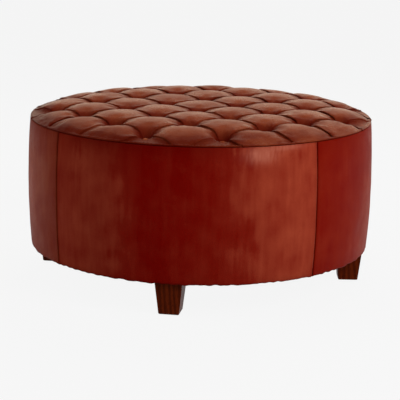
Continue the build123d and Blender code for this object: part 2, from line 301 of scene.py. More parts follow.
def makeLeather(name, deep, face, worn, look):
    # deep between pebbles and, as painted shade, in the hollows; face over most of it; worn where it is
    # rubbed, lighter on the crests and, on the band, where painted sheen lies
    material, tree, shader, where = newMaterial(name)
    form = leatherForm
    grain = useGroup(tree, hideGrain, where, Pebble=look["pebble"], Cloud=look["cloud"])
    # the layers carry the hide's tone with painted light, rubbed patches, and painted shade
    toneAndPaintedLight, rub, dark = (painted(tree, attribute) for attribute in ("toneAndPaintedLight", "rub", "dark"))
    cloudy = weigh(tree, grain["Mottle"], toneAndPaintedLight, (look["mottle"], 1.0 - look["mottle"]))
    colour = tint(tree, spread(tree, cloudy, *form["face"]), deep, face)
    rubbed = calc(tree, "MULTIPLY", spread(tree, cloudy, *form["worn"]), look["worn"])
    rubbed = calc(tree, "MULTIPLY_ADD", grain["Scuff"], look["scuff"], rubbed, True)
    colour = tint(tree, rubbed, colour, worn)
    colour = tint(tree, calc(tree, "MULTIPLY", grain["Pores"], look["pores"]), colour, deep)
    colour = tint(tree, rub, colour, form["dusty"])
    # painted shade, which also takes the shine away below
    colour = tint(tree, dark, colour, [share * shade for share, shade in zip(form["darkest"], deep)])
    stray = form["stray"]
    rough = spread(tree, grain["Mottle"], 0.0, 1.0, look["rough"] + stray, look["rough"] - stray)
    give(
        tree, shader.inputs,
        Base_Color=colour,
        Roughness=calc(tree, "MULTIPLY_ADD", grain["Pores"], form["poreRough"], rough),
        Specular_IOR_Level=spread(tree, dark, 0.0, form["dullest"], look["gloss"], 0.0),
        Specular_Tint=(*look["gleam"], 1.0),
    )
    bump(tree, shader, grain["Height"], look["relief"])
    return material


def makeWood(name, dark, light, look):
    material, tree, shader, where = newMaterial(name)
    place = {"Rotation": look["turn"], "Location": look["shift"]}
    turned = put(tree, "Mapping", None, Vector=where, **place).outputs[0]
    grain = useGroup(tree, timberGrain, turned, Lines=look["lines"], Stretch=look["stretch"])
    colour = tint(tree, grain["Lines"], dark, light)
    pores = calc(tree, "MULTIPLY", grain["Pores"], look["pores"])
    give(
        tree, shader.inputs,
        Base_Color=tint(tree, pores, colour, dark, "MULTIPLY"),
        Roughness=spread(tree, grain["Lines"], 0.0, 1.0, *look["rough"]),
        Specular_IOR_Level=look["gloss"],
        Specular_Tint=(*look["gleam"], 1.0),
    )
    bump(tree, shader, grain["Height"], look["relief"])
    return material


def makeFibre(name, low, high, cells, patches, sheen, relief):
    material, tree, shader, where = newMaterial(name)
    mat = useGroup(tree, fibreMat, where, Cells=cells, Patches=patches)
    colour = tint(tree, weigh(tree, mat["Height"], mat["Patches"], (0.5, 0.5)), low, high)
    rough = spread(tree, mat["Height"], 0.0, 1.0, *fibreForm["rough"])
    give(tree, shader.inputs, Base_Color=colour, Roughness=rough, Sheen_Weight=sheen)
    bump(tree, shader, mat["Height"], relief)
    return material


def makeHard(name, low, high, look):
    # metal or moulded plastic
    material, tree, shader, where = newMaterial(name)
    mat = useGroup(tree, fibreMat, where, Cells=look["cells"], Patches=look["patches"])
    colour = tint(tree, mat["Patches"], low, high)
    rough = spread(tree, mat[look["roughBy"]], 0.0, 1.0, *look["rough"])
    give(tree, shader.inputs, Base_Color=colour, Metallic=look["metallic"], Roughness=rough)
    bump(tree, shader, mat["Height"], look["relief"])
    return material


topHide = {
    "pebble": 520.0, "cloud": 16.0, "mottle": 0.25, "worn": 0.8, "scuff": 0.1, "pores": 0.3,
    "rough": 0.31, "gloss": 0.13, "gleam": (1.0, 0.35, 0.15), "relief": 0.00026,
}
bandHide = {
    "pebble": 520.0, "cloud": 6.0, "mottle": 0.2, "worn": 0.8, "scuff": 0.06, "pores": 0.22,
    "rough": 0.45, "gloss": 0.03, "gleam": (0.9, 0.12, 0.05), "relief": 0.0002,
}
buttonHide = {**topHide, "cloud": 40.0, "mottle": 0.9, "rough": 0.4}
legWood = {
    "turn": (0, 0, 0.5), "shift": (0.01, 0.02, 0), "lines": 60.0, "stretch": 0.07, "pores": 0.5,
    "rough": (0.44, 0.38), "gloss": 0.05, "gleam": (0.9, 0.3, 0.15), "relief": 0.00012,
}
plyWood = {
    "turn": (0, 1.5708, 0.3), "shift": (0, 0, 0.1), "lines": 26.0, "stretch": 0.12, "pores": 0.4,
    "rough": (0.76, 0.7), "gloss": 0.12, "gleam": white, "relief": 0.0003,
}
softWood = {
    "turn": (0, 0, 0.2), "shift": (0.05, 0, 0), "lines": 60.0, "stretch": 0.08, "pores": 0.3,
    "rough": (0.71, 0.65), "gloss": 0.12, "gleam": white, "relief": 0.0003,
}
metal = {
    "cells": 900.0, "patches": 160.0, "metallic": 1.0, "roughBy": "Patches", "rough": (0.44, 0.34),
    "relief": 0.00003,
}
moulded = {"cells": 1500.0, "patches": 90.0, "metallic": 0.0, "roughBy": "Height", "relief": 0.00004}

# deep, face and worn shade
hides = {
    "top": ("topLeather", (0.08, 0.003, 0.001), (0.14, 0.02, 0.007), (0.25, 0.06, 0.023), topHide),
    # the buttons' leather is paler than the top's: partly worn edges and partly painted light on buttons
    # that sit deep in their dimples
    "button": ("buttonLeather", (0.2, 0.035, 0.01), (0.36, 0.09, 0.03), (0.48, 0.17, 0.07), buttonHide),
}
# the four side panels were cut from different parts of the hide
panelHides = {
    "band_front": ((0.145, 0.0015, 0.0005), (0.19, 0.013, 0.006), (0.31, 0.05, 0.022)),
    "band_right": ((0.15, 0.003, 0.001), (0.2, 0.013, 0.004), (0.25, 0.032, 0.012)),
    "band_back": ((0.14, 0.003, 0.001), (0.18, 0.014, 0.006), (0.25, 0.03, 0.014)),
    "band_left": ((0.12, 0.008, 0.003), (0.17, 0.026, 0.01), (0.2, 0.046, 0.02)),
}
for name, shades in panelHides.items():
    hides[name] = (name + "Leather", *shades, bandHide)
woods = {
    "legs": ("legWood", (0.035, 0.004, 0.001), (0.125, 0.016, 0.003), legWood),
    "plywood": ("plywood", (0.42, 0.27, 0.14), (0.66, 0.48, 0.29), plyWood),
    "softwood": ("softwood", (0.5, 0.3, 0.14), (0.72, 0.52, 0.3), softWood),
}
hards = {
    "steel": ("zincSteel", (0.42, 0.42, 0.41), (0.68, 0.68, 0.67), metal),
    "nylon": ("nylonWasher", (0.62, 0.62, 0.58), (0.78, 0.78, 0.75), {**moulded, "rough": (0.45, 0.57)}),
    "glide": ("nylonGlide", (0.02, 0.02, 0.02), (0.045, 0.045, 0.045), {**moulded, "rough": (0.4, 0.52)}),
}
# low and high shade, cells, patches, sheen and relief
fibres = {
    "hardboard": ((0.12, 0.06, 0.03), (0.22, 0.12, 0.06), 500.0, 12.0, 0.0, 0.0002),
    "wadding": ((0.7, 0.68, 0.64), (0.86, 0.85, 0.82), 260.0, 25.0, 0.4, 0.001),
    "foam": ((0.62, 0.55, 0.32), (0.8, 0.74, 0.5), 900.0, 9.0, 0.1, 0.0006),
    "twine": ((0.4, 0.32, 0.2), (0.66, 0.57, 0.4), 1400.0, 120.0, 0.2, 0.0003),
    "dustCloth": ((0.006, 0.006, 0.006), (0.03, 0.03, 0.03), 700.0, 40.0, 0.1, 0.0003),
}
finishes = {name: makeFibre(name, *look) for name, look in fibres.items()}
for make, looks in ((makeLeather, hides), (makeWood, woods), (makeHard, hards)):
    for name, look in looks.items():
        finishes[name] = make(*look)
print("materials made")

dressed = {
    "buttons": "button", "tufting_twine": "twine", "knot_washers": "nylon", "deck_board": "plywood",
    "posts": "softwood", "deck_screws": "steel", "base_screws": "steel", "side_skin": "hardboard",
    "cover_staples": "steel", "base_board": "plywood", "leg_blocks": "softwood", "t_nuts": "steel",
    "hanger_bolts": "steel", "leg_right": "legs", "leg_back": "legs", "leg_left": "legs",
    "leg_front": "legs", "glides": "glide",
}
for name, finish in dressed.items():
    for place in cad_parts[name].material_slots:
        place.material = finishes[finish]


def settle(name, mesh, finish, replaced, wall=0.0):
    # turns a bmesh in metres into a piece of the object, at the origin
    data = bpy.data.meshes.new(name)
    mesh.to_mesh(data)
    mesh.free()
    for face in data.polygons:
        face.use_smooth = True
    data.materials.append(finishes[finish])
    piece = bpy.data.objects.new(name, data)
    scene.collection.objects.link(piece)
    if wall:
        skin = piece.modifiers.new("leather", "SOLIDIFY")
        skin.thickness, skin.offset = wall, -1.0
    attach(piece, "root")
    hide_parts(*replaced)
    return piece


def toMetres(mesh):
    bmesh.ops.scale(mesh, vec=(mm, mm, mm), verts=mesh.verts)


def faceOut(mesh, outwards):
    # turns all the faces over where more of them look inwards
    mesh.normal_update()
    if sum(outwards(face) for face in mesh.faces) < 0:
        bmesh.ops.reverse_faces(mesh, faces=mesh.faces)


def turnProfile(profile, steps, angle=fullTurn, closed=False):
    # radii and heights, turned about the drum's axis
    mesh = bmesh.new()
    verts = [mesh.verts.new((radius, 0.0, height)) for radius, height in profile]
    ends = verts[1:] + verts[:1] if closed else verts[1:]
    edges = [mesh.edges.new(pair) for pair in zip(verts, ends)]
    bmesh.ops.spin(
        mesh, geom=verts + edges, cent=(0, 0, 0), axis=(0, 0, 1), dvec=(0, 0, 0), angle=angle, steps=steps,
        use_merge=angle == fullTurn,
    )
    return mesh


def flatGrid(count):
    mesh = bmesh.new()
    bmesh.ops.create_grid(mesh, x_segments=count, y_segments=count, size=0.5)
    rows = round(sqrt(len(mesh.verts))) - 1
    places = [(round((v.co.x + 0.5) * rows), round((v.co.y + 0.5) * rows)) for v in mesh.verts]
    return mesh, places


def trimRound(mesh, rim, margin):
    # cuts a flat grid to a circle and rounds its border
    outside = [f for f in mesh.faces if all(v.co.xy.length > rim - margin for v in f.verts)]
    bmesh.ops.delete(mesh, geom=outside, context="FACES")
    bmesh.ops.delete(mesh, geom=[v for v in mesh.verts if not v.link_faces], context="VERTS")
    for vert in mesh.verts:
        if vert.co.xy.length > rim or vert.is_boundary:
            vert.co.xy = vert.co.xy.normalized() * rim


def plan(verts):
    return (np.array([v.co[k] for v in verts]) for k in (0, 1))


# the tufted top
tufts = {
    "period": 93.0 * sqrt(2),  # side of one diamond
    "across": 7,  # diamonds that the flat grids are wide
    # the CAD's puffs, which set the buttons' depth
    "ball": 190.0, "centre": 267.0, "share": 0.031167, "seatSink": 1.0,
    "crown": 459.7,  # the middle crest, and how the crests fall to the rim
    "fall": 44.0,
    "fallPower": 7.7,
    "sides": (3.0, 350.0, 80.0),  # the left and right edges stand fuller
    "wedgeReach": 440.0,  # puffs whose middle lies past this are cut off by the seam
    "wedge": (0.4, 8.0),  # and lie this far over it
    "bow": (5.0, -0.6, 1.0),  # how far a pleat strays between two buttons
    "crease": (0.2, 2.4),  # valleys between the puffs, as a share of the buttons' depth
    "dimplePower": 2.4,
    "buttonReach": 394.5,  # buttons lie within this radius
    "nowhere": 1000.0,  # the distance where no button is near
    "ownStir": (0.37, 0.91, 9.0),  # gives each button a number of its own
    "dish": (11.4, 1.3, 40.0),  # the leather rises from a button
    "roll": (428.0, 8.0),  # from here the top rolls down to the seam
    "rail": (425.0, 439.5, 0.4, 3.0),  # a firm edge holds it up there
    "blend": 2.0,
    "seed": 11,
}
# one pleat, from the puff in front to the puff behind: place at rest, place and height when fully folded
pleatProfile = [
    (-26.0, -26.0, 0.0), (-20.0, -20.0, -0.3), (-14.5, -14.4, -0.9), (-10.0, -9.6, -1.8), (-6.6, -5.9, -2.9),
    (-4.0, -2.8, -4.0), (-2.2, 0.2, -4.9), (-0.9, 3.0, -5.2), (0.0, 4.6, -4.4), (0.7, 4.9, -3.0),
    (1.4, 3.7, -1.5), (2.2, 1.2, -0.1), (3.0, -1.1, 0.7), (4.0, -2.5, 1.8), (5.6, -1.8, 3.4),
    (8.0, 2.0, 4.1), (12.0, 8.4, 3.3), (18.0, 16.4, 1.7), (26.0, 25.6, 0.4),
]


def diamondPlace(x, y):
    # millimetres in the drum to places along the two families of pleats
    turn = radians(drum["turn"] + 45.0)
    return x * cos(turn) + y * sin(turn), -x * sin(turn) + y * cos(turn)


def drumPlace(a, b):
    turn = radians(drum["turn"] + 45.0)
    return a * cos(turn) - b * sin(turn), a * sin(turn) + b * cos(turn)


def gridPlace(i, j, rows):
    # a flat grid's row and column to millimetres in the drum
    return (*drumPlace(*((k / rows - 0.5) * tufts["across"] * tufts["period"] for k in (i, j))), 0.0)


def offPleats(a, b):
    # how near the two families' pleats are, from 0 in the middle of a puff to 1 on a pleat
    side = tufts["period"]
    return (np.abs(2 * (k / side - np.round(k / side))) for k in (a, b))


def seatLevel(out):
    share = tufts["share"]
    drop = share * out**2 + (1 - share) * tufts["period"] ** 2 / 2
    return tufts["centre"] + np.sqrt(tufts["ball"] ** 2 - drop) - tufts["seatSink"]


def nearestButton(x, y):
    # distance and bearing from the nearest button, its seat's height and a number of its own
    a, b = diamondPlace(x, y)
    side = tufts["period"]
    seatA, seatB = side * (np.floor(a / side) + 0.5), side * (np.floor(b / side) + 0.5)
    reach = np.hypot(seatA, seatB)
    away = np.where(reach < tufts["buttonReach"], np.hypot(a - seatA, b - seatB), tufts["nowhere"])
    stirA, stirB, size = tufts["ownStir"]
    own = np.sin(seatA * stirA + seatB * stirB) * size
    return away, np.arctan2(b - seatB, a - seatA), seatLevel(reach), own


def cutOff(a, b):
    # whether a puff's middle lies past the seam, which leaves only a flat corner of it
    side = tufts["period"]
    return np.hypot(side * np.round(a / side), side * np.round(b / side)) > tufts["wedgeReach"]


def puffHeight(x, y):
    # the puffs' height, and how far down from crest to button it is there, from 0 to 1
    a, b = diamondPlace(x, y)
    u, w = offPleats(a, b)
    out = np.hypot(x, y)
    sideways = ((x * cos(view) + y * sin(view)) / np.maximum(out, 1.0)) ** 2
    crest = tufts["crown"] - tufts["fall"] * (out / drum["radius"]) ** tufts["fallPower"]
    rise, start, run = tufts["sides"]
    crest = crest + rise * sideways * np.clip((out - start) / run, 0, 1)
    held = nearestButton(x, y)[0] < tufts["nowhere"]
    line, power = tufts["crease"]
    dip = line * (u**power + w**power) + (1 - 2 * line) * held * (u * w) ** tufts["dimplePower"]
    height = crest - (crest - seatLevel(out)) * dip
    rise, power = tufts["wedge"]
    share = cutOff(a, b) * (1 - u**power) * (1 - w**power)
    return height - share * np.maximum(height - drum["seamHeight"] - rise, 0), dip


def softMin(first, second, width):
    mix = np.clip(0.5 + 0.5 * (second - first) / width, 0, 1)
    return second * (1 - mix) + first * mix - width * mix * (1 - mix)


def coverHeight(x, y):
    # the smooth tufted top, before its pleats: puffs, the roll down to the seam and the button seats
    out, seam = np.hypot(x, y), drum["seamHeight"]
    height = puffHeight(x, y)[0]
    start, level, slope, soft = tufts["rail"]
    height = np.where(out > start, -softMin(-height, -(seam + slope * (out - level)), soft), height)
    start, rise = tufts["roll"]
    part = np.clip((out - start) / (drum["seamRadius"] - start), 0, 1)
    roll = seam + rise * np.sqrt(1 - part) + np.maximum(start - out, 0)
    height = softMin(height, roll, tufts["blend"])
    away, _, seat, _ = nearestButton(x, y)
    start, slope, reach = tufts["dish"]
    dish = seat + np.maximum(away - start, 0) * slope
    return np.where(away < reach, softMin(height, dish, tufts["blend"]), height)


swell = {
    "cells": 18,  # cloth squares along one diamond
    # the puffs start flatter, and full inside the seam
    "slack": (4.5, 4, 12.0, 25.0),
    "grow": 0.014,
    "pressure": 4.0,
    "frames": 20,
    "most": 8.0,  # the furthest that a point moves
    "margin": 2.0,  # cloth past the seam
    # where it is held: at the seam, the buttons and the pleats
    "hold": (9.0, 15.0, 0.93, 0.8),
    "cloth": {
        "quality": 5, "mass": 0.25, "tension_stiffness": 20, "compression_stiffness": 20,
        "shear_stiffness": 8, "bending_stiffness": 1.0,
    },
}


def swellPuffs():
    # the leather as cloth, held at the buttons, along the pleats and at the seam, and blown up from inside
    lines, rim = tufts["across"] * swell["cells"], drum["seamRadius"]
    travel = np.zeros((lines + 1, lines + 1, 3))
    mesh, places = flatGrid(lines)
    for vert, (i, j) in zip(mesh.verts, places):
        vert.co = gridPlace(i, j, lines)
    outside = [v for v in mesh.verts if v.co.xy.length > rim + swell["margin"]]
    bmesh.ops.delete(mesh, geom=outside, context="VERTS")
    x, y = plan(mesh.verts)
    a, b = diamondPlace(x, y)
    u, w = offPleats(a, b)
    out, away, cut = np.hypot(x, y), nearestButton(x, y)[0], cutOff(a, b)
    slack, power, clear, run = swell["slack"]
    full = np.clip((rim - clear - out) / run, 0, 1) * (1 - u**power) * (1 - w**power) * (1 - cut)
    start = np.stack([x, y, coverHeight(x, y) - slack * full], axis=1)
    atSeam, atButton, atPleat, grip = swell["hold"]
    hold = np.where((away < atButton) | (out > rim - atSeam) | cut, 1.0, 0.0)
    hold = np.maximum(hold, np.where((u > atPleat) | (w > atPleat), grip, 0.0))
    for vert, place in zip(mesh.verts, start):
        vert.co = place * mm
    data = bpy.data.meshes.new("swelling")
    mesh.to_mesh(data)
    mesh.free()
    sheet = bpy.data.objects.new("swelling", data)
    scene.collection.objects.link(sheet)
    pins = sheet.vertex_groups.new(name="held")
    for level in (grip, 1.0):
        pins.add([int(k) for k in np.flatnonzero(hold == level)], level, "REPLACE")
    blowUp(sheet)
    blown = sheet.evaluated_get(bpy.context.evaluated_depsgraph_get()).data
    places = np.empty(len(blown.vertices) * 3)
    blown.vertices.foreach_get("co", places)
    move = places.reshape(-1, 3) / mm - start
    size = np.maximum(np.linalg.norm(move, axis=1, keepdims=True), 1e-6)
    mean, most = (round(float(value), 2) for value in (size.mean(), size.max()))
    print("puffs swollen, mean and most travel in mm:", mean, most)
    move *= swell["most"] * np.tanh(size / swell["most"]) / size
    move[:, 2] -= slack * full
    i, j = (np.round((k / (tufts["across"] * tufts["period"]) + 0.5) * lines).astype(int) for k in (a, b))
    travel[i, j] = move
    scene.frame_set(1)
    bpy.data.objects.remove(sheet)
    bpy.data.meshes.remove(data)
    return travel


def blowUp(sheet):
    cloth = sheet.modifiers.new("swell", "CLOTH")
    cloth.collision_settings.use_collision = False
    cloth.point_cache.frame_start, cloth.point_cache.frame_end = 1, swell["frames"]
    how = cloth.settings
    for name, value in swell["cloth"].items():
        setattr(how, name, value)
    how.vertex_group_mass = "held"
    how.shrink_min = -swell["grow"]
    how.use_pressure, how.uniform_pressure_force = True, swell["pressure"]
    how.effector_weights.gravity = 0.0
    for step in range(1, swell["frames"] + 1):
        scene.frame_set(step)


def travelAt(travel, a, b):
    # the swelling between the cloth's points
    lines = travel.shape[0] - 1
    wide = tufts["across"] * tufts["period"]
    p, q = (np.clip((k / wide + 0.5) * lines, 0, lines - 1e-6) for k in (a, b))
    i, j = np.floor(p).astype(int), np.floor(q).astype(int)
    s, t = (p - i)[:, None], (q - j)[:, None]
    near = travel[i, j] * (1 - s) + travel[i + 1, j] * s
    return near * (1 - t) + (travel[i, j + 1] * (1 - s) + travel[i + 1, j + 1] * s) * t


# how the pleats open, each stretch between two buttons by draws of its own
folds = {
    "most": (0.55, 1.05), "families": (0.75, 0.6),  # the two directions of pleats open differently
    "lean": (0.22, 0.5),  # where a pleat opens widest, from the front button
    "fade": (0.35, 0.7),  # what is left of it at the back button
    "least": 0.45,  # what is open of it at the front button
    "shut": (9.0, 16.0),  # a pleat is shut this near a button's middle, and opens over this far
    "wave": (0.12, 9.0, 6.28),
    "rows": 14,  # of the grid, between two pleats
    "lines": range(-4, 4),
    "seeds": {"fold": (1000, 331, 37), "bow": (500, 173, 41)},
}


def stretchDraws(kind, line, span, family):
    bySeed, byFamily, byLine = folds["seeds"][kind]
    return random.Random(tufts["seed"] * bySeed + family * byFamily + line * byLine + span)


def foldStrength(along, line, span, family):
    # how far a pleat opens between its two buttons
    side = tufts["period"]
    part = (along / side + 0.5) % 1.0
    draws = stretchDraws("fold", line, span, family)
    most = draws.uniform(*folds["most"]) * folds["families"][family]
    lean = draws.uniform(*folds["lean"])
    fade = draws.uniform(*folds["fade"])
    rise = min(1.0, part / lean)
    fall = 1.0 - (1.0 - fade) * max(0.0, part - lean) / (1.0 - lean)
    nearest = min(part, 1.0 - part) * side
    shut, run = folds["shut"]
    opened = min(1.0, max(0.0, (nearest - shut) / run))
    opened = opened * opened * (3 - 2 * opened)
    size, count, phase = folds["wave"]
    wave = 1.0 + size * sin(count * part + phase * draws.random())
    return most * (folds["least"] + (1 - folds["least"]) * rise) * fall * opened * wave


def pleatBow(along, line, span, family):
    # how far a pleat strays sideways between its two buttons
    draws = stretchDraws("bow", line, span, family)
    part = (along / tufts["period"] + 0.5) % 1.0
    most, *span = tufts["bow"]
    return most * draws.uniform(*span) * sin(pi * part) ** 2


def pleatStops():
    # rows of the grid, close together at each pleat, and each one's move sideways and up, pleat and nearness
    side, rows = tufts["period"], folds["rows"]
    end = pleatProfile[-1][0]
    middle = [end + (side - 2 * end) * k / rows for k in range(1, rows)]
    stops, moves = [], []
    for line in folds["lines"]:
        for rest, moved, height in pleatProfile:
            stops.append(side * (line + 0.5) + rest)
            moves.append((moved - rest, height, line, 1.0 - abs(rest) / end))
        for place in middle:
            stops.append(side * (line + 0.5) + place)
            moves.append((0.0, 0.0, line, 0.0))
    return stops, moves


swelling = swellPuffs()

cover = {
    "trim": 0.6,
    "even": (22.0, 6),  # the grid is evened out near the seam
    "settle": 10.0, "calm": 16.0,  # the swelling and the pleats die out near the seam
    # puckers around each button: share, how many, and turn
    "rays": ((0.5, 5, 1.0), (0.35, 9, 2.1), (0.3, 14, -1.0)),
    "ray": (0.9, 11.5, 5.0, 12.0, 13.0),
    "gather": (0.7, 70.0, 9.0, 3.0, 0.03),  # along the seam
    "wrinkles": ((0.5, 34.0), (0.2, 11.0)),  # height and width
    "wrinkleRun": 30.0,
    "toneAndPaintedLight": (1.9, 6.0, 75.0),  # the hide is worn lighter on the crests, with painted shade in the hollows and towards the rim
    "paintedRimShade": (0.25, 0.5, 0.2, 0.8),  # and painted shade keeps it deep red at the left of the rim, which the lamps light least
    # painted shade: it is darkest at the front left of the rim and around the buttons
    "shelter": (-0.75, -0.66, 1.6, 0.5, 385.0, 45.0),
    "dark": (0.35, 0.3, 12.0, 9.0),
    # painted shade in the folds of the pleats
    "pleatDark": 0.12,
    # the edge turns in to the seam: radius against the seam's, and height
    "seamRings": ((0.2, 423.6), (-0.2, 422.7), (-1.4, 422.3), (-6.0, 422.3)),
    # painted shade on the edge turned in to the seam
    "seamDark": 0.6,
}


def coverPlan():
    # the grid in the plane, drawn in along the pleats; the height of the folds goes with its points
    stops, moves = pleatStops()
    mesh, places = flatGrid(len(stops) - 1)
    rim, side = drum["seamRadius"], tufts["period"]
    for name in ("toneAndPaintedLight", "dark", "fold"):
        mesh.verts.layers.float.new(name)
    fold = mesh.verts.layers.float["fold"]
    for vert, (i, j) in zip(mesh.verts, places):
        a, b = stops[i], stops[j]
        shiftA, upA, lineA, nearA = moves[i]
        shiftB, upB, lineB, nearB = moves[j]
        spanA, spanB = floor(b / side + 0.5), floor(a / side + 0.5)
        openA = foldStrength(b, lineA, spanA, 0) if nearA else 0.0
        openB = foldStrength(a, lineB, spanB, 1) if nearB else 0.0
        bowA = nearA * pleatBow(b, lineA, spanA, 0) if nearA else 0.0
        bowB = nearB * pleatBow(a, lineB, spanB, 1) if nearB else 0.0
        vert.co = (*drumPlace(a + shiftA * openA + bowA, b + shiftB * openB + bowB), 0.0)
        vert[fold] = upA * openA + upB * openB
    trimRound(mesh, rim, cover["trim"])
    reach, passes = cover["even"]
    near = [v for v in mesh.verts if rim - reach < v.co.xy.length < rim - 0.01]
    for _ in range(passes):
        bmesh.ops.smooth_vert(mesh, verts=near, factor=0.5, use_axis_x=True, use_axis_y=True)
    return mesh


def coverLooks(x, y, away):
    # how light the hide is, worn pale on the crests with painted shade in the hollows and at the left of the
    # rim, and how much painted shade lies on it, from place to place
    rim, out = drum["seamRadius"], np.hypot(x, y)
    sideways = (x * cos(view) + y * sin(view)) / rim
    forwards = (y * cos(view) - x * sin(view)) / rim
    # painted shade near the rim, deepest at the left
    least, more, shift, run = cover["paintedRimShade"]
    least = least + more * np.clip((sideways + shift) / run, 0, 1)
    fall, reach, run = cover["toneAndPaintedLight"]
    toneAndPaintedLight = np.clip(1.0 - puffHeight(x, y)[1] * fall, 0, 1) * np.clip((rim + reach - out) / run, least, 1)
    # painted shade at the front left of the rim and around the buttons
    wayX, wayY, times, less, start, run = cover["shelter"]
    sheltered = np.clip((wayX * sideways + wayY * forwards) * times - less, 0, 1)
    sheltered = sheltered * np.clip((out - start) / run, 0, 1)
    rimDark, buttonDark, start, fade = cover["dark"]
    return toneAndPaintedLight, rimDark * sheltered + buttonDark * np.exp(-np.maximum(away - start, 0) / fade)


def makeCover():
    mesh = coverPlan()
    layer, paintedShade, fold = (mesh.verts.layers.float[name] for name in ("toneAndPaintedLight", "dark", "fold"))
    rim, verts = drum["seamRadius"], list(mesh.verts)
    x, y = plan(verts)
    inside = rim - np.hypot(x, y)
    height = coverHeight(x, y)
    move = travelAt(swelling, *diamondPlace(x, y)) * np.clip(inside / cover["settle"], 0, 1)[:, None]
    away, bearing, _, own = nearestButton(x, y)
    rise, start, run, peak, fade = cover["ray"]
    rays = sum(size * np.sin(count * bearing + turned * own) for size, count, turned in cover["rays"])
    rays = rays * np.exp(-np.maximum(away - peak, 0) / fade) * np.clip((away - start) / run, 0, 1)
    calm = np.clip(inside / cover["calm"], 0, 1)
    size, count, fade, run, least = cover["gather"]
    gather = np.exp(-inside / fade) * np.clip(inside / run, 0, 1)
    toneAndPaintedLight, dark = coverLooks(x, y, away)
    for k, vert in enumerate(verts):
        place = Vector((x[k], y[k], 0.0))
        wrinkle = sum(high * noise(place / wide) for high, wide in cover["wrinkles"])
        if gather[k] > least:
            wrinkle += size * gather[k] * noise(place.normalized() * count)
        vert.co.x += move[k, 0]
        vert.co.y += move[k, 1]
        level = height[k] + move[k, 2] + vert[fold] * calm[k] + rise * rays[k]
        vert.co.z = level + wrinkle * min(1.0, away[k] / cover["wrinkleRun"])
        # painted light and shade go into the hide's layers here
        vert[layer] = float(toneAndPaintedLight[k])
        vert[paintedShade] = float(min(1.0, dark[k] + cover["pleatDark"] * max(0.0, -vert[fold])))
    for past, level in cover["seamRings"]:
        border = [e for e in mesh.edges if e.is_boundary]
        made = bmesh.ops.extrude_edge_only(mesh, edges=border)
        for vert in (g for g in made["geom"] if isinstance(g, bmesh.types.BMVert)):
            vert.co.xy = vert.co.xy.normalized() * (rim + past)
            vert.co.z = level
            vert[layer], vert[paintedShade] = 0.0, cover["seamDark"]
    toMetres(mesh)
    faceOut(mesh, lambda face: face.normal.z)
    piece = settle("tuftedCover", mesh, "top", ["top_cover"], wall=drum["leather"])
    return piece


print("tufted cover made", len(makeCover().data.vertices))

